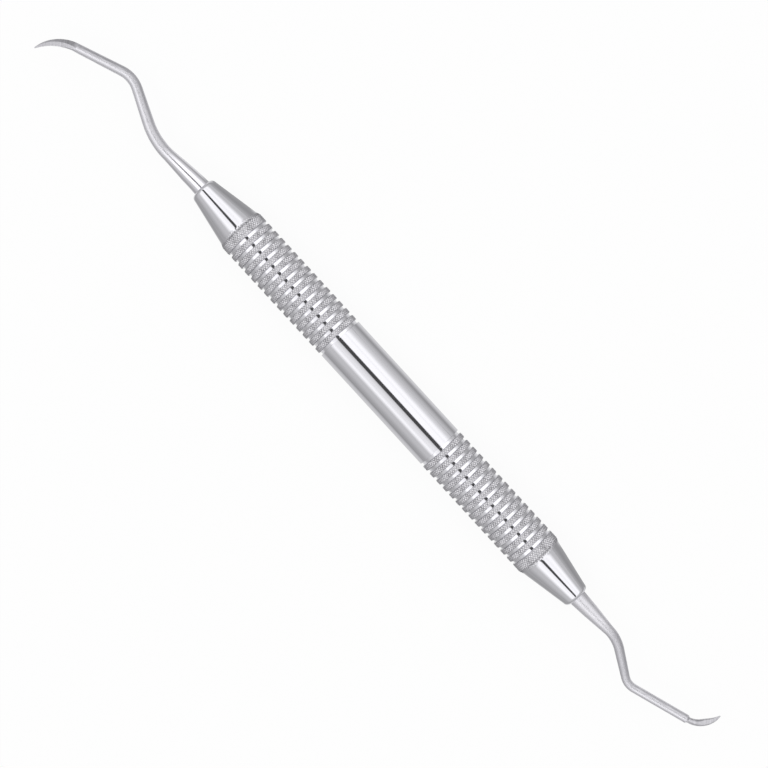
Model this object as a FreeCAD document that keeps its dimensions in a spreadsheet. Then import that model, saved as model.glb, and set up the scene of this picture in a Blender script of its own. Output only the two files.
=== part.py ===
import FreeCAD, Part
import math
import os
import Sketcher
from FreeCAD import Placement, Rotation, Vector

# Double-ended sickle scaler, in millimetres. X runs along the handle's axis, the shanks bend
# in the XY plane, and the origin is the middle of the handle, on its axis. The handle is one
# swaged stainless tube with turned rings. Each working end is one bent and ground bar whose
# tang is pressed into a socket in the handle's nose.

doc = FreeCAD.newDocument("dental_scaler")

# Driving dimensions

handle_sizes = {
    "barrel_length": 28.0,
    "barrel_diameter": 9.35,
    "land_diameter": 9.5,
    "ring_pitch": 1.77,
    "rings_per_side": 15,
    "ring_width": 0.7,
    "ring_depth": 0.45,
    "ring_floor_width": 0.5,
    "shoulder_length": 2.0,
    "bevel_length": 0.9,
    "nose_length": 10.0,
    "nose_base_diameter": 8.75,
    "nose_tip_diameter": 5.3,
    "nose_rim_radius": 0.9,
    "bore_diameter": 7.4,
    "bore_throat_length": 3.8,
    "socket_diameter": 3.0,
    "socket_depth": 9.0,
    "tang_clearance": 0.01,
    "tang_end_gap": 0.3,
    "tang_chamfer": 0.3,
    "handle_turn": 11.2,
}

# Each working end was bent and ground by hand, so the two have their own runs and turns.
working_end_sizes = {
    "left": {
        "lean": 3.1, "lean_radius": 30.0, "root_run": 2.2,
        "first_run": 5.05, "first_turn": 28.5, "first_radius": 14.4,
        "second_run": 6.48, "second_turn": 45.9, "second_radius": 5.5,
        "third_run": 8.9, "heel_run": 0.7, "blade_turn": 59.6, "blade_radius": 8.07,
        "root_diameter": 3.5, "waist_diameter": 3.2, "first_bend_diameter": 2.44,
        "second_bend_diameter": 2.04, "neck_diameter": 1.76, "heel_diameter": 1.72,
        "point_diameter": 1.72, "face_height": 0.74, "face_radius": 11.5,
        "side_height": 0.7, "side_point_height": 0.18,
        "back_height": 0.7, "back_point_height": 0.52, "point_thickness": 0.28,
    },
    "right": {
        "lean": 1.4, "lean_radius": 30.0, "root_run": 3.0,
        "first_run": 4.78, "first_turn": 31.55, "first_radius": 7.5,
        "second_run": 5.5, "second_turn": 48.4, "second_radius": 3.2,
        "third_run": 11.25, "heel_run": 0.4, "blade_turn": 86.2, "blade_radius": 4.09,
        "root_diameter": 3.45, "waist_diameter": 2.95, "first_bend_diameter": 2.02,
        "second_bend_diameter": 1.64, "neck_diameter": 1.64, "heel_diameter": 1.1,
        "point_diameter": 1.6, "face_height": 0.68, "face_radius": 8.0,
        "side_height": 0.5, "side_point_height": 0.16,
        "back_height": 0.5, "back_point_height": 0.38, "point_thickness": 0.14,
    },
}
grinding_sizes = {
    "side_tilt": 12.0,
    "back_tilt": 33.0,
    "face_run_out": 0.6,
    "grinding_reach": 3.0,
}

sheet = doc.addObject("Spreadsheet::Sheet", "Sizes")
rows = {**handle_sizes, **grinding_sizes}
for side, sizes in working_end_sizes.items():
    for name, number in sizes.items():
        rows[side + "_" + name] = number
for row, (name, number) in enumerate(rows.items(), start=1):
    sheet.set("A%d" % row, name)
    sheet.set("B%d" % row, str(number))
    sheet.setAlias("B%d" % row, name)
doc.recompute()

# Distances from the middle of the handle are a chain, so that each part of it stays joined.
BARREL_END = "Sizes.barrel_length / 2"
RING_SPAN = "(Sizes.rings_per_side - 1) * Sizes.ring_pitch"
SHOULDER_END = BARREL_END + " + " + RING_SPAN + " + Sizes.shoulder_length"
NOSE_START = SHOULDER_END + " + Sizes.bevel_length"
NOSE_END = NOSE_START + " + Sizes.nose_length"
SOCKET_START = NOSE_END + " - Sizes.socket_depth"
BORE_END = SOCKET_START + " - Sizes.bore_throat_length"

START, END, CENTRE = 1, 2, 3
SKETCH_ORIGIN = (-1, 1)
X_AXIS, Y_AXIS = -1, -2
FULL_TURN = 360
HALF_TURN = 180


def value(expression):
    """What an expression on the sheet comes to."""
    return float(sheet.evalExpression(expression.replace("Sizes.", "")))


def origin_part(body, role):
    """One of a body's own origin planes or axes."""
    return next(item for item in body.Origin.OriginFeatures if item.Role == role)


def new_body(label):
    body = doc.addObject("PartDesign::Body", label)
    body.Label = label
    return body


def flat_sketch(body, name, role="XY_Plane"):
    """A sketch flat on one of the body's origin planes."""
    sketch = body.newObject("Sketcher::SketchObject", name)
    sketch.AttachmentSupport = (origin_part(body, role), [""])
    sketch.MapMode = "FlatFace"
    return sketch


def bind(sketch, name, kind, places, expression):
    """A named dimension of a sketch, bound to the sheet."""
    number = value(expression)
    if kind == "Angle":
        number = math.radians(number)
    index = sketch.addConstraint(Sketcher.Constraint(kind, *places, number))
    sketch.renameConstraint(index, name)
    sketch.setExpression("Constraints." + name, expression)


def place_point(sketch, name, geometry, point, x, y):
    """Holds a point of a sketch at x, y from the sketch's origin."""
    for axis, kind, other, expression in (("x", "DistanceX", Y_AXIS, x), ("y", "DistanceY", X_AXIS, y)):
        if expression == "0":
            sketch.addConstraint(Sketcher.Constraint("PointOnObject", geometry, point, other))
        elif value(expression) < 0:
            below = "-(" + expression + ")"
            bind(sketch, name + "_" + axis, kind, (geometry, point, *SKETCH_ORIGIN), below)
        else:
            bind(sketch, name + "_" + axis, kind, (*SKETCH_ORIGIN, geometry, point), expression)


def add_arc(sketch, start, finish, radius, turn):
    """An arc under half a turn; turn is 1 for anticlockwise. Returns its first and last ends."""
    chord = finish - start
    rise = math.sqrt(radius ** 2 - (chord.Length / 2) ** 2)
    across = Vector(-chord.y, chord.x, 0).normalize()
    centre = (start + finish) / 2 + across * rise * turn
    angle = [math.atan2(p.y - centre.y, p.x - centre.x) for p in (start, finish)]
    if turn < 0:
        angle.reverse()
    circle = Part.Circle(centre, Vector(0, 0, 1), radius)
    sketch.addGeometry(Part.ArcOfCircle(circle, angle[0], angle[1]), False)
    return (START, END) if turn > 0 else (END, START)


def outline(sketch, corners, arcs=None):
    """A closed outline through named corners. arcs gives a side's radius and turn by its corner."""
    arcs = arcs or {}
    names = list(corners)
    points = [Vector(value(x), value(y), 0) for x, y in corners.values()]
    ends = []
    for i, name in enumerate(names):
        following = points[(i + 1) % len(points)]
        if name in arcs:
            radius, turn = arcs[name]
            ends.append(add_arc(sketch, points[i], following, value(radius), turn))
        else:
            sketch.addGeometry(Part.LineSegment(points[i], following), False)
            ends.append((START, END))
    for i, name in enumerate(names):
        before = (i - 1) % len(names)
        sketch.addConstraint(Sketcher.Constraint("Coincident", before, ends[before][1], i, ends[i][0]))
        place_point(sketch, name, i, ends[i][0], *corners[name])
        if name in arcs:
            bind(sketch, name + "_radius", "Radius", (i,), arcs[name][0])


def volume_of(feature):
    doc.recompute()
    return feature.Shape.Volume


def turned(body, kind, name, sketch):
    """A full turn of a section about the handle's axis."""
    feature = body.newObject(kind, name)
    feature.Profile = sketch
    feature.ReferenceAxis = (origin_part(body, "X_Axis"), [""])
    feature.Angle = FULL_TURN
    return feature


# Handle: one tube, swaged down at both noses, its rings turned into the outside

handle = new_body("handle")

half_wall = flat_sketch(handle, "half_wall")
outline(half_wall, {
    "bore_middle": ("0", "Sizes.bore_diameter / 2"),
    "barrel_middle": ("0", "Sizes.barrel_diameter / 2"),
    "barrel_end": (BARREL_END, "Sizes.barrel_diameter / 2"),
    "first_land": (BARREL_END, "Sizes.land_diameter / 2"),
    "shoulder_end": (SHOULDER_END, "Sizes.land_diameter / 2"),
    "nose_base": (NOSE_START, "Sizes.nose_base_diameter / 2"),
    "nose_rim": (NOSE_END + " - Sizes.nose_rim_radius", "Sizes.nose_tip_diameter / 2"),
    "nose_face": (NOSE_END, "Sizes.nose_tip_diameter / 2 - Sizes.nose_rim_radius"),
    "socket_mouth": (NOSE_END, "Sizes.socket_diameter / 2"),
    "socket_floor": (SOCKET_START, "Sizes.socket_diameter / 2"),
    "bore_end": (BORE_END, "Sizes.bore_diameter / 2"),
}, {"nose_rim": ("Sizes.nose_rim_radius", -1)})
tube = turned(handle, "PartDesign::Revolution", "tube", half_wall)
volume_before = volume_of(tube)

ring_section = flat_sketch(handle, "ring_section")
RING_FLOOR = "Sizes.land_diameter / 2 - Sizes.ring_depth"
RING_TOP = "Sizes.land_diameter / 2 + Sizes.ring_depth"
HALF_RING = "(Sizes.ring_width / 2)"
HALF_FLOOR = "(Sizes.ring_floor_width / 2)"
RING_FLARE = HALF_FLOOR + " + (" + HALF_RING + " - " + HALF_FLOOR + ") * 2"
outline(ring_section, {
    "floor_near": (BARREL_END + " - " + HALF_FLOOR, RING_FLOOR),
    "floor_far": (BARREL_END + " + " + HALF_FLOOR, RING_FLOOR),
    "top_far": (BARREL_END + " + " + RING_FLARE, RING_TOP),
    "top_near": (BARREL_END + " - (" + RING_FLARE + ")", RING_TOP),
})
first_ring = turned(handle, "PartDesign::Groove", "first_ring", ring_section)
if not volume_of(first_ring) < volume_before:
    raise RuntimeError("the first ring cut nothing")

rings = handle.newObject("PartDesign::LinearPattern", "rings")
rings.Originals = [first_ring]
rings.Direction = (origin_part(handle, "X_Axis"), [""])
rings.setExpression("Length", RING_SPAN)
rings.setExpression("Occurrences", "Sizes.rings_per_side")
handle.Tip = rings
doc.recompute()

both_halves = handle.newObject("PartDesign::Mirrored", "both_halves")
both_halves.TransformMode = "Whole shape"
both_halves.MirrorPlane = (origin_part(handle, "YZ_Plane"), [""])
handle.Tip = both_halves
doc.recompute()


# Working ends: a tang, a tapered bar bent twice, and a sickle blade ground on its tip

def bar_path(body, side):
    """The bar's centre line in the bend plane, from the nose to the blade's point."""
    def own(name):
        return "Sizes." + side + "_" + name

    sketch = flat_sketch(body, side + "_centre_line")
    steps = [
        ("lean", own("lean_radius"), own("lean"), 1),
        ("root_run", own("root_run"), None, 0),
        ("first_run", own("first_run"), None, 0),
        ("first_bend", own("first_radius"), own("first_turn"), -1),
        ("second_run", own("second_run"), None, 0),
        ("second_bend", own("second_radius"), own("second_turn"), 1),
        ("third_run", own("third_run"), None, 0),
        ("heel", own("heel_run"), None, 0),
        ("blade", own("blade_radius"), own("blade_turn"), 1),
    ]
    at = Vector(value(NOSE_END), 0, 0)
    heading = 0.0
    ends = []
    for name, length, angle, turn in steps:
        if turn:
            radius = value(length)
            sweep = math.radians(value(angle))
            middle = heading + turn * sweep / 2
            chord = 2 * radius * math.sin(sweep / 2)
            following = at + Vector(math.cos(middle), math.sin(middle), 0) * chord
            ends.append(add_arc(sketch, at, following, radius, turn))
            heading += turn * sweep
        else:
            following = at + Vector(math.cos(heading), math.sin(heading), 0) * value(length)
            sketch.addGeometry(Part.LineSegment(at, following), False)
            ends.append((START, END))
        at = following
    for i, (name, length, angle, turn) in enumerate(steps):
        if i:
            sketch.addConstraint(Sketcher.Constraint("Tangent", i - 1, ends[i - 1][1], i, ends[i][0]))
        if turn:
            bind(sketch, name + "_radius", "Radius", (i,), length)
            bind(sketch, name + "_turn", "Angle", (i,), angle)
        else:
            bind(sketch, name + "_length", "Distance", (i,), length)
    place_point(sketch, "nose", 0, ends[0][0], NOSE_END, "0")
    sketch.addConstraint(Sketcher.Constraint("Vertical", 0, ends[0][0], 0, CENTRE))
    stations = {}
    for i, (name, _, _, turn) in enumerate(steps):
        first, last = (1.0, 0.0) if turn < 0 else (0.0, 1.0)
        stations[name] = ("Edge%d" % (i + 1), first, last)
    return sketch, stations


def square_sketch(body, name, path, edge, along):
    """A sketch square to the bar, at a share of the way along one edge of its centre line.

    Its X points away from the bend's centre, its Y along the object's Z.
    """
    sketch = body.newObject("Sketcher::SketchObject", name)
    sketch.AttachmentSupport = [(path, edge)]
    sketch.MapMode = "NormalToEdge"
    sketch.MapPathParameter = along
    return sketch


def round_section(body, name, path, edge, along, diameter, inward="0"):
    """A round section of the bar, centred on its path or set inward towards the bend's centre."""
    sketch = square_sketch(body, name, path, edge, along)
    middle = "-(" + inward + ")" if value(inward) else "0"
    circle = Part.Circle(Vector(value(middle), 0, 0), Vector(0, 0, 1), value(diameter) / 2)
    sketch.addGeometry(circle, False)
    place_point(sketch, "middle", 0, CENTRE, middle, "0")
    bind(sketch, "diameter", "Diameter", (0,), diameter)
    return sketch


def swept(body, kind, name, path, edges, sections):
    """A bar, or a cut, that follows the centre line from one section to the next."""
    feature = body.newObject(kind, name)
    feature.Profile = sections[0]
    feature.Sections = sections[1:]
    feature.Spine = (path, edges)
    feature.Transformation = "Multisection"
    feature.Mode = "Binormal"
    feature.Binormal = Vector(0, 0, 1)
    return feature


def working_end(side):
    def own(name):
        return "Sizes." + side + "_" + name

    body = new_body(side + "_working_end")

    # The tang, a chamfered pin that stops a little short of the socket's floor
    TANG_RADIUS = "Sizes.socket_diameter / 2 - Sizes.tang_clearance"
    TANG_START = SOCKET_START + " + Sizes.tang_end_gap"
    tang_section = flat_sketch(body, side + "_tang_section")
    outline(tang_section, {
        "start": (TANG_START, "0"),
        "start_edge": (TANG_START, TANG_RADIUS + " - Sizes.tang_chamfer"),
        "chamfer_end": (TANG_START + " + Sizes.tang_chamfer", TANG_RADIUS),
        "seat_edge": (NOSE_END, TANG_RADIUS),
        "seat": (NOSE_END, "0"),
    })
    turned(body, "PartDesign::Revolution", side + "_tang", tang_section)

    path, stations = bar_path(body, side)
    # The blade's back keeps the heel's radius, so a wider section at the point is set inward
    back_kept = "(" + own("point_diameter") + " - " + own("heel_diameter") + ") / 2"
    stretches = [
        ("root", ["lean", "root_run"], "root_diameter", "waist_diameter", "0"),
        ("waist", ["first_run"], "waist_diameter", "first_bend_diameter", "0"),
        ("upper_shank", ["first_bend", "second_run"], "first_bend_diameter", "second_bend_diameter", "0"),
        ("terminal_shank", ["second_bend", "third_run"], "second_bend_diameter", "neck_diameter", "0"),
        ("neck", ["heel"], "neck_diameter", "heel_diameter", "0"),
        ("blade_bar", ["blade"], "heel_diameter", "point_diameter", back_kept),
    ]
    for name, steps, first_size, last_size, inward in stretches:
        stretch = side + "_" + name
        edge, at_start, _ = stations[steps[0]]
        first = round_section(body, stretch + "_start", path, edge, at_start, own(first_size))
        edge, _, at_end = stations[steps[-1]]
        last = round_section(body, stretch + "_end", path, edge, at_end, own(last_size), inward)
        followed = [stations[step][0] for step in steps]
        swept(body, "PartDesign::AdditivePipe", stretch, path, followed, [first, last])

    # The face, ground hollow along the inside of the blade until it meets the back at the point
    bar_edge = "(" + own("heel_diameter") + " / 2)"
    blade_end_along = own("blade_radius") + " * sin(" + own("blade_turn") + " * 1deg)"
    blade_end_across = own("blade_radius") + " * (1 - cos(" + own("blade_turn") + " * 1deg))"
    back = "(" + own("heel_diameter") + " / 2 - " + own("point_thickness") + ")"
    point_along = blade_end_along + " + " + back + " * sin(" + own("blade_turn") + " * 1deg)"
    point_across = blade_end_across + " - " + back + " * cos(" + own("blade_turn") + " * 1deg)"
    edge, at_start, at_end = stations["blade"]
    face = body.newObject("Sketcher::SketchObject", side + "_face_profile")
    face.AttachmentSupport = [(path, edge)]
    face.MapMode = "FrenetTN"
    face.MapPathParameter = at_start
    outline(face, {
        "run_out": ("0", bar_edge),
        "face_start": ("Sizes.face_run_out", own("face_height")),
        "point": (point_along, point_across),
        "beyond_point": (point_along + " + Sizes.grinding_reach", point_across + " + Sizes.grinding_reach"),
        "above_run_out": ("0", point_across + " + Sizes.grinding_reach"),
    }, {"face_start": (own("face_radius"), 1)})
    volume_before = volume_of(body)
    face_cut = body.newObject("PartDesign::Pocket", side + "_face")
    face_cut.Profile = face
    face_cut.Type = "ThroughAll"
    face_cut.SideType = "Symmetric"
    volume_faced = volume_of(face_cut)
    if not volume_faced < volume_before:
        raise RuntimeError("the face cut nothing: " + side)

    # The sides, ground flatter towards the point, and the back, ground steeper to narrow it
    def grind_section(name, along, height, tilt):
        sketch = square_sketch(body, side + "_" + name, path, edge, along)
        lean_in = "Sizes.grinding_reach * tan(" + tilt + " * 1deg)"
        outline(sketch, {
            "at_face": ("-Sizes.grinding_reach", height + " + " + lean_in),
            "at_back": ("Sizes.grinding_reach", height + " - " + lean_in),
            "over_back": ("Sizes.grinding_reach", "Sizes.grinding_reach"),
            "over_face": ("-Sizes.grinding_reach", "Sizes.grinding_reach"),
        })
        return sketch

    upper_grinds = []
    volume_left = volume_faced
    for grind in ("side", "back"):
        tilt = "Sizes." + grind + "_tilt"
        first = grind_section(grind + "_start", at_start, own(grind + "_height"), tilt)
        last = grind_section(grind + "_end", at_end, own(grind + "_point_height"), tilt)
        name = side + "_upper_" + grind
        cut = swept(body, "PartDesign::SubtractivePipe", name, path, [edge], [first, last])
        if not volume_of(cut) < volume_left:
            raise RuntimeError("the grind cut nothing: " + name)
        volume_left = cut.Shape.Volume
        upper_grinds.append(cut)
    lower_grinds = body.newObject("PartDesign::Mirrored", side + "_lower_grinds")
    lower_grinds.Originals = upper_grinds
    lower_grinds.MirrorPlane = (origin_part(body, "XY_Plane"), [""])
    body.Tip = lower_grinds
    if not volume_of(lower_grinds) < volume_left:
        raise RuntimeError("the lower grinds cut nothing: " + side)
    return body


left_working_end = working_end("left")
right_working_end = working_end("right")
left_working_end.Placement = Placement(Vector(0, 0, 0), Rotation(Vector(0, 0, 1), HALF_TURN))
# The handle is pressed on a little turned from the bends' plane
handle.Placement = Placement(Vector(0, 0, 0), Rotation(Vector(1, 0, 0), value("Sizes.handle_turn")))
sub_parts = [handle, left_working_end, right_working_end]
doc.recompute()

for item in doc.Objects:
    if "Invalid" in item.State or "Error" in item.State:
        raise RuntimeError("failed: " + item.Name)
for sub_part in sub_parts:
    if sub_part.Shape.isNull() or not sub_part.Shape.isValid():
        raise RuntimeError("bad shape: " + sub_part.Label)

os.makedirs("parts", exist_ok=True)
for sub_part in sub_parts:
    sub_part.Shape.exportStep("parts/" + sub_part.Label + ".step")
    print(sub_part.Label, round(sub_part.Shape.Volume, 2), "cubic mm,", len(sub_part.Shape.Solids), "solid")
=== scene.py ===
import bpy
from math import ceil, cos, floor, pi, radians, sin, tau
from mathutils import Matrix, Vector


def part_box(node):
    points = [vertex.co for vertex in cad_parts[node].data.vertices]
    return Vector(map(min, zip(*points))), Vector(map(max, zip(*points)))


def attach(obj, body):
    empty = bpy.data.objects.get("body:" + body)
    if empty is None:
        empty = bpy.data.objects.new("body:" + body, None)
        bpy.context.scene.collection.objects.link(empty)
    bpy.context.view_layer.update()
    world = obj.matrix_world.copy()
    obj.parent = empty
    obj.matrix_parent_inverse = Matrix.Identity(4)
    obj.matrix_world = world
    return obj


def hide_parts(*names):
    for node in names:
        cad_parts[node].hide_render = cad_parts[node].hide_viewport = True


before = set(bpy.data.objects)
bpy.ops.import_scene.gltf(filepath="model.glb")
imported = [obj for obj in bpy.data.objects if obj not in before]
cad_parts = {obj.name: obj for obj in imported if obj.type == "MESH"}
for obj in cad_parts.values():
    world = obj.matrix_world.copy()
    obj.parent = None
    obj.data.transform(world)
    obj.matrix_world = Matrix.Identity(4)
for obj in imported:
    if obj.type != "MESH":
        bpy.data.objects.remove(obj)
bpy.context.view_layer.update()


# The handle is one stainless steel tube, turned smooth in the middle and at its swaged noses.
# Its two grips are knurled with crossed lines, and then rings are turned through the knurls.
MM = 0.001
handle_low, handle_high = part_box("handle")
HALF_LENGTH = handle_high[0]
GRIP_RADIUS = handle_high[2]

BARREL_HALF = 14.0 * MM
BARREL_RADIUS = 4.675 * MM
RINGS_A_SIDE = 15
RING_PITCH = 1.77 * MM
RING_HALF = 0.35 * MM
RING_FLOOR_HALF = 0.25 * MM
RING_DEPTH = 0.45 * MM
RING_FLOOR_RADIUS = GRIP_RADIUS - RING_DEPTH
SHOULDER_LENGTH = 2.0 * MM
BEVEL_LENGTH = 0.9 * MM
NOSE_BASE_RADIUS = 4.375 * MM
NOSE_TIP_RADIUS = 2.65 * MM
NOSE_RIM_RADIUS = 0.9 * MM
RIM_STEPS = 8
SOCKET_RADIUS = 1.5 * MM
EDGE_ROUND = 0.09 * MM
LAST_RING = BARREL_HALF + (RINGS_A_SIDE - 1) * RING_PITCH
SHOULDER_END = LAST_RING + SHOULDER_LENGTH
NOSE_START = SHOULDER_END + BEVEL_LENGTH
RIM_START = HALF_LENGTH - NOSE_RIM_RADIUS

# A knurl is a low pyramid between two crossed grooves. The mesh has four steps to each one,
# both round the handle and along it, so that the grooves run along the diagonals of its faces.
KNURLS_ROUND = 56
KNURL_LENGTH = 0.76 * MM
KNURL_DEPTH = 0.12 * MM
KNURL_END = SHOULDER_END + 0.25 * MM
KNURL_RUN_OUT = 0.5 * MM
STEPS = 4
COLUMNS = KNURLS_ROUND * STEPS
ROW = KNURL_LENGTH / STEPS
ROWS_APART = 0.2
SHARP_EDGE = radians(18)


def knurl_depth(column, along):
    """How deep the crossed grooves are at a column of the mesh and a place along the handle."""
    turns = column / STEPS
    lengths = along / KNURL_LENGTH
    nearest = min(abs(line - round(line)) for line in (turns + lengths, turns - lengths))
    return KNURL_DEPTH * (1 - 2 * nearest)


def knurled_share(along):
    """1 where the knurls are full, running out to 0 on the bevel."""
    past = abs(along) - KNURL_END
    if abs(along) < BARREL_HALF or past > KNURL_RUN_OUT:
        return 0.0
    return 1.0 - max(0.0, past) / KNURL_RUN_OUT


def nose_radius(along):
    """The bevel's or the cone's radius at a distance along the handle."""
    if along < NOSE_START:
        share = (along - SHOULDER_END) / BEVEL_LENGTH
        return GRIP_RADIUS + (NOSE_BASE_RADIUS - GRIP_RADIUS) * share
    share = (along - NOSE_START) / (RIM_START - NOSE_START)
    return NOSE_BASE_RADIUS + (NOSE_TIP_RADIUS - NOSE_BASE_RADIUS) * share


def rounded_edge(edge, inward):
    """A land's rounded edge, listed from the ring's side; inward is 1 or -1 along the handle."""
    return [(edge, GRIP_RADIUS - EDGE_ROUND),
            (edge + inward * EDGE_ROUND / 3, GRIP_RADIUS - EDGE_ROUND / 3),
            (edge + inward * EDGE_ROUND, GRIP_RADIUS)]


def half_profile():
    """(distance along, radius) down one half of the handle, from its middle to the socket."""
    points = [(0.0, BARREL_RADIUS), (BARREL_HALF - RING_HALF, BARREL_RADIUS)]
    for ring in range(RINGS_A_SIDE):
        middle = BARREL_HALF + ring * RING_PITCH
        points.append((middle - RING_FLOOR_HALF, RING_FLOOR_RADIUS))
        points.append((middle + RING_FLOOR_HALF, RING_FLOOR_RADIUS))
        points += rounded_edge(middle + RING_HALF, 1)
        if ring < RINGS_A_SIDE - 1:
            land_end = middle + RING_PITCH - RING_HALF
            first_row = ceil((middle + RING_HALF + EDGE_ROUND) / ROW + ROWS_APART)
            last_row = floor((land_end - EDGE_ROUND) / ROW - ROWS_APART)
            points += [(row * ROW, GRIP_RADIUS) for row in range(first_row, last_row + 1)]
            points += reversed(rounded_edge(land_end, -1))
    row = ceil((LAST_RING + RING_HALF + EDGE_ROUND) / ROW + ROWS_APART)
    while row * ROW < SHOULDER_END - ROWS_APART * ROW:
        points.append((row * ROW, GRIP_RADIUS))
        row += 1
    points.append((SHOULDER_END, GRIP_RADIUS))
    while row * ROW < NOSE_START + KNURL_RUN_OUT:
        points.append((row * ROW, nose_radius(row * ROW)))
        row += 1
    for step in range(RIM_STEPS + 1):
        turn = step / RIM_STEPS * pi / 2
        points.append((RIM_START + NOSE_RIM_RADIUS * sin(turn),
                       NOSE_TIP_RADIUS - NOSE_RIM_RADIUS * (1 - cos(turn))))
    points.append((HALF_LENGTH, SOCKET_RADIUS))
    return points


def knurled_tube(name):
    """The handle's skin: its profile turned about X, with the knurls cut into the grips."""
    half = half_profile()
    profile = [(-along, radius) for along, radius in reversed(half[1:])] + half
    vertices = []
    for along, radius in profile:
        on_grip = radius > RING_FLOOR_RADIUS + EDGE_ROUND or abs(along) > LAST_RING + RING_HALF
        share = knurled_share(along) if on_grip else 0.0
        for column in range(COLUMNS):
            cut_radius = radius - knurl_depth(column, along) * share
            turn = tau * column / COLUMNS
            vertices.append((along, cut_radius * cos(turn), cut_radius * sin(turn)))
    faces = []
    for row in range(len(profile) - 1):
        step_along = floor((profile[row][0] + profile[row + 1][0]) / 2 / ROW)
        for column in range(COLUMNS):
            following = (column + 1) % COLUMNS
            a = row * COLUMNS + column
            b = row * COLUMNS + following
            c = (row + 1) * COLUMNS + following
            d = (row + 1) * COLUMNS + column
            if (column - step_along) % STEPS == 0:
                faces += [(a, b, c), (a, c, d)]
            else:
                faces += [(a, b, d), (b, c, d)]
    mesh = bpy.data.meshes.new(name)
    mesh.from_pydata(vertices, [], faces)
    mesh.shade_smooth()
    mesh.set_sharp_from_angle(angle=SHARP_EDGE)
    piece = bpy.data.objects.new(name, mesh)
    bpy.context.scene.collection.objects.link(piece)
    return piece


class Wire:
    """An output of a shader's node. A sum written on wires adds its Math nodes."""

    def __init__(self, tree, socket=None):
        self.tree = tree
        self.socket = socket

    def node(self, kind, settings=None, inputs=None, output=0):
        """Adds a node: its settings first, then the values or wires of its sockets."""
        made = self.tree.nodes.new(kind)
        for name, setting in (settings or {}).items():
            if name == "stops":
                elements = made.color_ramp.elements
                elements.remove(elements[1])
                for position, shade in setting:
                    stop = elements.new(position) if position else elements[0]
                    stop.color = (shade, shade, shade, 1)
            else:
                setattr(made, name, setting)
        for name, given in (inputs or {}).items():
            if isinstance(given, Wire):
                self.tree.links.new(given.socket, made.inputs[name])
            else:
                made.inputs[name].default_value = given
        return Wire(self.tree, made.outputs[output] if made.outputs else None)

    def maths(self, operation, *values):
        return self.node("ShaderNodeMath", {"operation": operation}, dict(enumerate(values)))

    def __add__(self, other):
        return self.maths("ADD", self, other)

    def __radd__(self, other):
        return self.maths("ADD", other, self)

    def __sub__(self, other):
        return self.maths("SUBTRACT", self, other)

    def __rsub__(self, other):
        return self.maths("SUBTRACT", other, self)

    def __mul__(self, other):
        return self.maths("MULTIPLY", self, other)

    def __rmul__(self, other):
        return self.maths("MULTIPLY", other, self)

    def __truediv__(self, other):
        return self.maths("DIVIDE", self, other)

    def __rtruediv__(self, other):
        return self.maths("DIVIDE", other, self)

    def __abs__(self):
        return self.maths("ABSOLUTE", self)

    def clamped(self, none, full):
        """0 at none, 1 at full and in between in proportion."""
        limits = {"From Min": none, "From Max": full}
        return self.node("ShaderNodeMapRange", {"clamp": True}, {"Value": self, **limits})

    def between(self, none, full):
        """The colour none at 0, the colour full at 1 and a mix of the two in between."""
        first, second = ((*colour, 1) if isinstance(colour, tuple) else colour
                         for colour in (none, full))
        return self.node("ShaderNodeMix", {"data_type": "RGBA"}, {0: self, 6: first, 7: second}, 2)

    def along(self, axis):
        """A place's distance along X, Y or Z, or how far a direction leans that way."""
        return self.node("ShaderNodeSeparateXYZ", None, {0: self}, axis)

    def noise(self, scale, detail):
        """Soft noise over a place."""
        fineness = {"Scale": scale, "Detail": detail}
        return self.node("ShaderNodeTexNoise", None, {"Vector": self, **fineness})


def new_finish(name):
    """A material, its empty tree and the place on the object in metres."""
    material = bpy.data.materials.new(name)
    material.use_nodes = True
    material.node_tree.nodes.clear()
    start = Wire(material.node_tree)
    place = start.node("ShaderNodeTexCoord", output="Object")
    return material, start, place


def facing_sideways(start):
    """How far the surface faces the +Y side, from -1 to 1."""
    return start.node("ShaderNodeNewGeometry", output="Normal").along(1)


def metal(start, tint, dullness, fine_lines, strength):
    """Closes a metal's tree. The fine lines also stand out of the surface a little."""
    bump = start.node("ShaderNodeBump", None, {
        "Strength": strength, "Distance": FINE_LINE_HEIGHT, "Height": fine_lines})
    surface = start.node("ShaderNodeBsdfPrincipled", None, {
        "Base Color": tint, "Metallic": 1.0, "Roughness": dullness, "Normal": bump})
    start.node("ShaderNodeOutputMaterial", None, {"Surface": surface})


STEEL = (0.79, 0.785, 0.825)
KNURL_STEEL = (0.975, 0.965, 1.0)
WORN_STEEL = (0.74, 0.735, 0.77)
RING_STEEL = (0.88, 0.875, 0.915)
GROOVE_STEEL = (0.36, 0.355, 0.38)
SMEARED = 0.3
CRESTS_WORN = 0.3
# How much shade is painted on the knurls' flanks that face +Y and -Y
PLUS_FLANK_PAINTED_SHADE = 0.35
MINUS_FLANK_PAINTED_SHADE = 0.5
STEEL_DULLNESS = 0.05
SMEAR_DULLNESS = 0.06
KNURL_DULLNESS = 0.24
LATHE_DULLNESS = 0.12
LATHE_BUMP = 0.05
FINE_LINE_HEIGHT = 0.02 * MM

# How fine the marks are, in marks a metre
LATHE_LINES = (9000, 300, 300)
SMEARS = 160
PATCHES = 2400

# Where a land's and a groove's looks begin, and where a land's are full
LAND_FOOT = GRIP_RADIUS - RING_DEPTH * 0.8
LAND_TOP = GRIP_RADIUS - RING_DEPTH * 0.5
GROOVE_TOP = 0.25 * KNURL_DEPTH
KNURL_EDGE = 0.1 * MM


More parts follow.
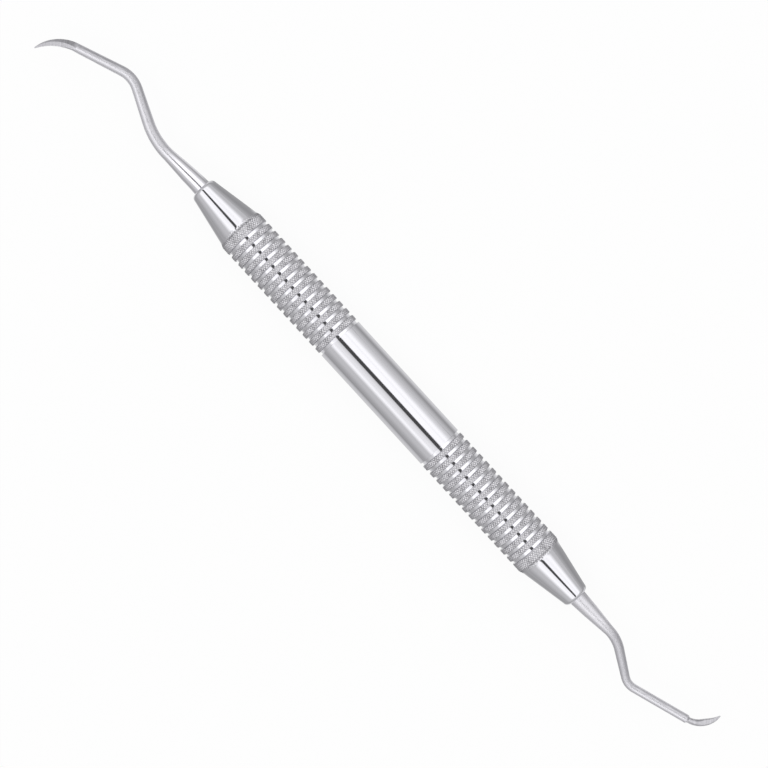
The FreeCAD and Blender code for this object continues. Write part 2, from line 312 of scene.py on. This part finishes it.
def handle_steel():
    """Bright turned steel with fine lathe lines and a few soft smears, brightest in the rings.
    The knurls are duller, with patchy crests, grooves darkened partly by dirt and partly by
    painted shade, and shade painted on the flanks that face sideways."""
    material, start, place = new_finish("handle_steel")
    drawn_out = start.node("ShaderNodeMapping", None, {"Vector": place, "Scale": LATHE_LINES})
    lathe_lines = drawn_out.noise(1, 2)
    smears = place.noise(SMEARS, 3)
    patchy = place.noise(PATCHES, 1).clamped(0.35, 0.65)

    distance = abs(place.along(0))
    y, z = place.along(1), place.along(2)
    radius = start.maths("SQRT", y * y + z * z)
    on_land = radius.clamped(LAND_FOOT, LAND_TOP)
    on_bevel = distance.clamped(SHOULDER_END - KNURL_EDGE, SHOULDER_END)
    knurled = (distance.clamped(BARREL_HALF, BARREL_HALF + KNURL_EDGE)
               * (1 - distance.clamped(KNURL_END, KNURL_END + KNURL_RUN_OUT))
               * start.maths("MAXIMUM", on_land, on_bevel))
    # Darker in the knurls' grooves: partly dirt and partly painted shade in the recesses
    in_groove = (GRIP_RADIUS - radius).clamped(GROOVE_TOP, KNURL_DEPTH) * knurled
    in_ring = (distance.clamped(BARREL_HALF - RING_HALF, BARREL_HALF - RING_FLOOR_HALF)
               * (1 - distance.clamped(LAST_RING + RING_HALF, SHOULDER_END)) * (1 - on_land))
    sideways = facing_sideways(start)
    # Painted shade: the knurls' flanks that face sideways are darkened
    painted_flank_shade = (sideways.clamped(0.7, 0.95) * PLUS_FLANK_PAINTED_SHADE
                 + sideways.clamped(-0.2, -0.8) * MINUS_FLANK_PAINTED_SHADE)

    smooth = in_ring.between((smears * SMEARED).between(STEEL, WORN_STEEL), RING_STEEL)
    crests = (patchy * CRESTS_WORN).between(KNURL_STEEL, WORN_STEEL)
    dirt_and_painted_shade = (in_groove * (0.5 + patchy * 0.5) + painted_flank_shade).clamped(0.0, 1.0)
    tint = knurled.between(smooth, dirt_and_painted_shade.between(crests, GROOVE_STEEL))
    dullness = (STEEL_DULLNESS + smears * SMEAR_DULLNESS
                + knurled * (KNURL_DULLNESS + lathe_lines * LATHE_DULLNESS))
    metal(start, tint, dullness, lathe_lines, LATHE_BUMP)
    return material


tube = knurled_tube("handle_tube")
tube.data.materials.append(handle_steel())
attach(tube, "root")
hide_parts("handle")


# Each working end is one steel bar, bent while soft and tapered. The polishing wheel leaves it
# satin, apart from the left end's first run, which is bright. Shade is painted on the side of
# the bar and blade that faces +Y, eased off at the bar's edge that faces fully +Y, which is
# painted lighter. The blade's faces are left as they come off the grinding stone, with its
# fine scratches across them.
BAR_STEEL = (0.87, 0.86, 0.905)
# The darkest tint, which wear, marks and painted shade mix the bar's steel towards
DARKENED_BAR_STEEL = (0.27, 0.267, 0.285)
SCRATCH_TURN = radians(47.5)
SCRATCH_WIDTH = 0.28 * MM
SCRATCH_LENGTH = 2.5 * MM
LAST_RUN_TURN = radians(19)
POLISH_WIDTH = 0.12 * MM
POLISH_LENGTH = 2.0 * MM
BENDS = (60 * MM, 70 * MM)
BEND_HALF = 2 * MM
HEEL_HALF = 0.5 * MM
BAR_GRAIN = 5200
BAR_SMEARS = 420
SCRATCHES_DARK = 0.25
POINT_DARK = 0.25
GRAIN_DARK = 0.2
POLISH_DARK = 0.6
# How far the painted shade eases off at the bar's edge that faces fully +Y
PAINTED_EDGE_LIGHT = 0.8
BAR_DULLNESS = 0.12
SATIN_DULLNESS = 0.26
WEAR_DULLNESS = 0.5
POLISH_DULLNESS = 0.06
GRAIN_BUMP = 0.02


def ground_steel(name, satin_start, heel, point, wear, side_wear):
    """A bar's steel, satin from satin_start on. Each tuple holds the first run's, the middle run's,
    the last run's and the blade's share: wear all round the bar, and the side share, the shade
    painted on the side facing +Y."""
    material, start, place = new_finish(name)
    grain = place.noise(BAR_GRAIN, 2)
    smears = place.noise(BAR_SMEARS, 3)

    def lines(turn, length, width, depth):
        turned = start.node("ShaderNodeMapping", {"vector_type": "TEXTURE"}, {
            "Vector": place, "Rotation": (0, 0, turn), "Scale": (length, width, depth)})
        return turned.noise(1, 1)

    distance = abs(place.along(0))
    satin = distance.clamped(satin_start, satin_start + 2 * BEND_HALF)
    past_first, past_second = (
        distance.clamped(bend - BEND_HALF, bend + BEND_HALF) for bend in BENDS)
    on_blade = distance.clamped(heel - HEEL_HALF, heel + HEEL_HALF)
    to_point = distance.clamped(heel, point)

    def by_run(first, middle, last, blade):
        return (first + past_first * (middle - first) + past_second * (last - middle)
                + on_blade * (blade - last))

    sideways = facing_sideways(start)
    # Painted light: the painted shade eases off where the bar faces fully +Y, so that edge is
    # painted lighter
    painted_edge_light = sideways.clamped(0.7, 0.95) * (1 - on_blade) * PAINTED_EDGE_LIGHT
    # Painted shade on the side that faces +Y
    shaded_side = sideways.clamped(0.15, 0.45) * (1 - painted_edge_light)
    scratches = lines(SCRATCH_TURN, SCRATCH_WIDTH, SCRATCH_LENGTH, SCRATCH_LENGTH).clamped(0.3, 0.7)
    polish = lines(LAST_RUN_TURN, POLISH_LENGTH, POLISH_WIDTH, POLISH_WIDTH).clamped(0.35, 0.65)
    polish_lines = (polish - 0.5) * past_second * (1 - on_blade)
    all_over = by_run(*wear)
    # The tint: wear, shade painted on the side facing +Y, the blade's scratches, darkening towards
    # the point, and grain
    marks_and_painted_shade = (all_over + shaded_side * by_run(*side_wear) * (1 + polish_lines * POLISH_DARK)
              + on_blade * scratches * SCRATCHES_DARK + to_point * POINT_DARK
              + (grain - 0.5) * GRAIN_DARK)
    tint = marks_and_painted_shade.clamped(0.0, 1.0).between(BAR_STEEL, DARKENED_BAR_STEEL)
    dullness = (BAR_DULLNESS + satin * SATIN_DULLNESS + all_over * WEAR_DULLNESS
                + polish_lines * POLISH_DULLNESS + smears * SMEAR_DULLNESS)
    metal(start, tint, dullness, grain, GRAIN_BUMP)
    return material


def dress(end, **finish):
    """Gives a working end's bar its steel."""
    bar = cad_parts[end]
    bar.data.materials.clear()
    bar.data.materials.append(ground_steel(end + "_steel", **finish))


# The second share of each end is the shade painted on the side facing +Y, run by run
dress("left_working_end", satin_start=58 * MM, heel=87.2 * MM, point=96 * MM,
      wear=(0, 0, 0, 0.1), side_wear=(0, 0.46, 0.55, 0.62))
dress("right_working_end", satin_start=46 * MM, heel=82.4 * MM, point=87 * MM,
      wear=(0, 0.26, 0, 0), side_wear=(0.18, 0.32, 0.45, 0.3))


# The view is the photograph's: from above, turned fifteen degrees towards the instrument's +Y
# side, with the handle's axis falling to the right across the picture.
VIEW_ROLL = radians(15)
AXIS_FALL = radians(47.469)
CAMERA_DISTANCE = 370 * MM
METRES_A_PIXEL = 0.1863 * MM
PICTURE_WIDTH = 768
SENSOR_WIDTH = 36
HANDLE_RIGHT_OF_CENTRE = 5.714 * METRES_A_PIXEL
HANDLE_BELOW_CENTRE = 8.762 * METRES_A_PIXEL
to_camera = Vector((0, sin(VIEW_ROLL), cos(VIEW_ROLL)))
across_handle = Vector((0, cos(VIEW_ROLL), -sin(VIEW_ROLL)))
along_handle = Vector((1, 0, 0))
picture_right = along_handle * cos(AXIS_FALL) + across_handle * sin(AXIS_FALL)
picture_up = across_handle * cos(AXIS_FALL) - along_handle * sin(AXIS_FALL)
aim = picture_up * HANDLE_BELOW_CENTRE - picture_right * HANDLE_RIGHT_OF_CENTRE
camera = bpy.data.objects.new("camera", bpy.data.cameras.new("camera"))
camera.data.sensor_width = SENSOR_WIDTH
camera.data.lens = SENSOR_WIDTH * CAMERA_DISTANCE / (PICTURE_WIDTH * METRES_A_PIXEL)
camera.data.clip_start = 10 * MM
camera.matrix_world = Matrix((picture_right, picture_up, to_camera)).transposed().to_4x4()
camera.matrix_world.translation = aim + to_camera * CAMERA_DISTANCE
bpy.context.scene.collection.objects.link(camera)
bpy.context.scene.camera = camera


# The table is a pale board that the instrument lies on. To the steel it shows painted shades:
# under the smooth waist a white card, with shade painted on its +Y side; the board light close
# by the steel and greyer beyond; and under the noses grey on the +Y side up to the steel.
TABLE_HALF = 600 * MM
CARD_END = 15 * MM
CARD_EDGE = 4 * MM
NOSES_START = 43 * MM
NOSES_END = 54 * MM
NOSES_EDGE = 1 * MM
BOARD_GLOW = 0.93
WHITE = (1, 1, 1)

# The shades that the steel mirrors, each at a distance across the handle in millimetres
SHADES_END = 60
CARD_SHADES = [(-60, 0.38), (-34, 0.55), (-18, 0.70), (7, 0.74), (10, 0.52), (13, 0.36),
               (17, 0.44), (25, 0.56), (56, 0.66)]
BOARD_SHADES = [(-60, 0.46), (-34, 0.42), (-18, 0.40), (-12, 0.48), (-8, 0.74), (-6, 0.90),
                (6, 0.75), (8, 0.62), (12, 0.40), (17, 0.40), (25, 0.44), (56, 0.50)]
NOSE_SHADES = [(-60, 0.46), (-34, 0.42), (-18, 0.40), (-12, 0.42), (-8, 0.58), (-6, 0.75),
               (2, 0.45), (6, 0.40), (13, 0.35), (25, 0.42), (56, 0.50)]

table_mesh = bpy.data.meshes.new("table")
corners = ((-1, -1), (1, -1), (1, 1), (-1, 1))
table_mesh.from_pydata([(TABLE_HALF * x, TABLE_HALF * y, handle_low[2]) for x, y in corners],
                       [], [(0, 1, 2, 3)])
table = bpy.data.objects.new("table", table_mesh)
bpy.context.scene.collection.objects.link(table)


def table_board():
    """White to the camera, with the instrument's faint shadow, and shaded to the steel."""
    material, start, place = new_finish("table_board")
    distance = abs(place.along(0))
    past_card = distance.clamped(CARD_END, CARD_END + CARD_EDGE)
    under_nose = (distance.clamped(NOSES_START - NOSES_EDGE, NOSES_START + NOSES_EDGE)
                  * (1 - distance.clamped(NOSES_END - NOSES_EDGE, NOSES_END + NOSES_EDGE)))
    across = (place.along(1) / MM + SHADES_END) / (2 * SHADES_END)

    def shades(listed):
        stops = [((y + SHADES_END) / (2 * SHADES_END), shade) for y, shade in listed]
        return start.node("ShaderNodeValToRGB", {"stops": stops}, {0: across})

    board_shades = past_card.between(shades(CARD_SHADES), shades(BOARD_SHADES))
    mirrored = under_nose.between(board_shades, shades(NOSE_SHADES))
    camera_ray = start.node("ShaderNodeLightPath", output="Is Camera Ray")
    glossy_ray = start.node("ShaderNodeLightPath", output="Is Glossy Ray")
    shown = camera_ray.between(mirrored, WHITE)
    board = start.node("ShaderNodeBsdfPrincipled", None, {
        "Base Color": shown, "Roughness": 0.9, "Specular IOR Level": 0.0})
    glow = start.node("ShaderNodeEmission", None, {"Color": shown, "Strength": 1.0})
    surface = start.node("ShaderNodeMixShader", None, {
        0: (camera_ray + glossy_ray) * BOARD_GLOW, 1: board, 2: glow})
    start.node("ShaderNodeOutputMaterial", None, {"Surface": surface})
    return material


table_mesh.materials.append(table_board())


# The light is a white tent: a long soft box over the instrument with a dark slit down its
# middle, where the camera looks through, and greyer cloth low down all round. The cloth is a
# little shaded beside the slit, on the low side of it.
TENT_WHITE = 1.25
LOW_SHADE = 0.42
SLIT_DARK = 0.07
SLIT_EDGE = 0.04
SLIT_MIDDLE = -0.04
SLIT_BEND = 0.1
SLIT_HALF = 0.125
SLIT_TAPER = 0.08

# The cloth's brightness by the angle from the camera's line, as a share of half a turn
LOW_CLOTH = [(0.0, 1.0), (0.15, 1.0), (0.185, 0.92), (0.22, 1.0), (0.25, 1.0), (0.297, 0.70),
             (0.33, 0.52), (0.42, 0.50), (0.45, 0.46), (0.54, 0.355), (0.62, 0.32)]
HIGH_CLOTH = [(0.0, 1.0), (0.15, 1.0), (0.185, 0.92), (0.22, 1.0), (0.26, 1.0), (0.297, 0.86),
              (0.333, 0.70), (0.37, 0.62), (0.41, 0.57), (0.6, 0.35)]

world = bpy.data.worlds.new("tent")
bpy.context.scene.world = world
world.use_nodes = True
world.node_tree.nodes.clear()
sky = Wire(world.node_tree)
ray = sky.node("ShaderNodeTexCoord", output="Generated")


def lean_of(axis):
    """How far the ray leans along one direction."""
    product = {"operation": "DOT_PRODUCT"}
    return sky.node("ShaderNodeVectorMath", product, {0: ray, 1: axis}, "Value")


toward = lean_of(to_camera)
sideways = lean_of(across_handle)
lengthways = abs(lean_of(along_handle))

angle = sky.maths("ARCCOSINE", toward) / pi
low_cloth = sky.node("ShaderNodeValToRGB", {"stops": LOW_CLOTH}, {0: angle})
high_cloth = sky.node("ShaderNodeValToRGB", {"stops": HIGH_CLOTH}, {0: angle})
high_side = sideways.clamped(-0.1, 0.1) * (1 - lengthways.clamped(0.1, 0.3))
low_shade = (sideways.clamped(-0.75, -0.17) * (1 - sideways.clamped(-0.06, 0.02))
             * (1 - lengthways.clamped(0.03, 0.12)) * LOW_SHADE)
cloth = (low_cloth * (1 - high_side) + high_cloth * high_side) * (1 - low_shade) * TENT_WHITE

# The slit narrows towards the handle's ends, and bends away to the low side there
slit_middle = SLIT_MIDDLE - lengthways * SLIT_BEND
slit_half = SLIT_HALF - lengthways * SLIT_TAPER
from_slit = abs(sideways - slit_middle) - slit_half
slit = (1 - from_slit.clamped(0.0, SLIT_EDGE)) * toward.clamped(0.6, 0.7)

seen = sky.node("ShaderNodeLightPath", output="Is Camera Ray")
light = seen.between(cloth * (1 - slit) + slit * SLIT_DARK, WHITE)
tent = sky.node("ShaderNodeBackground", None, {"Color": light, "Strength": 1.0})
sky.node("ShaderNodeOutputWorld", None, {"Surface": tent})


bpy.context.scene.view_settings.view_transform = "Standard"
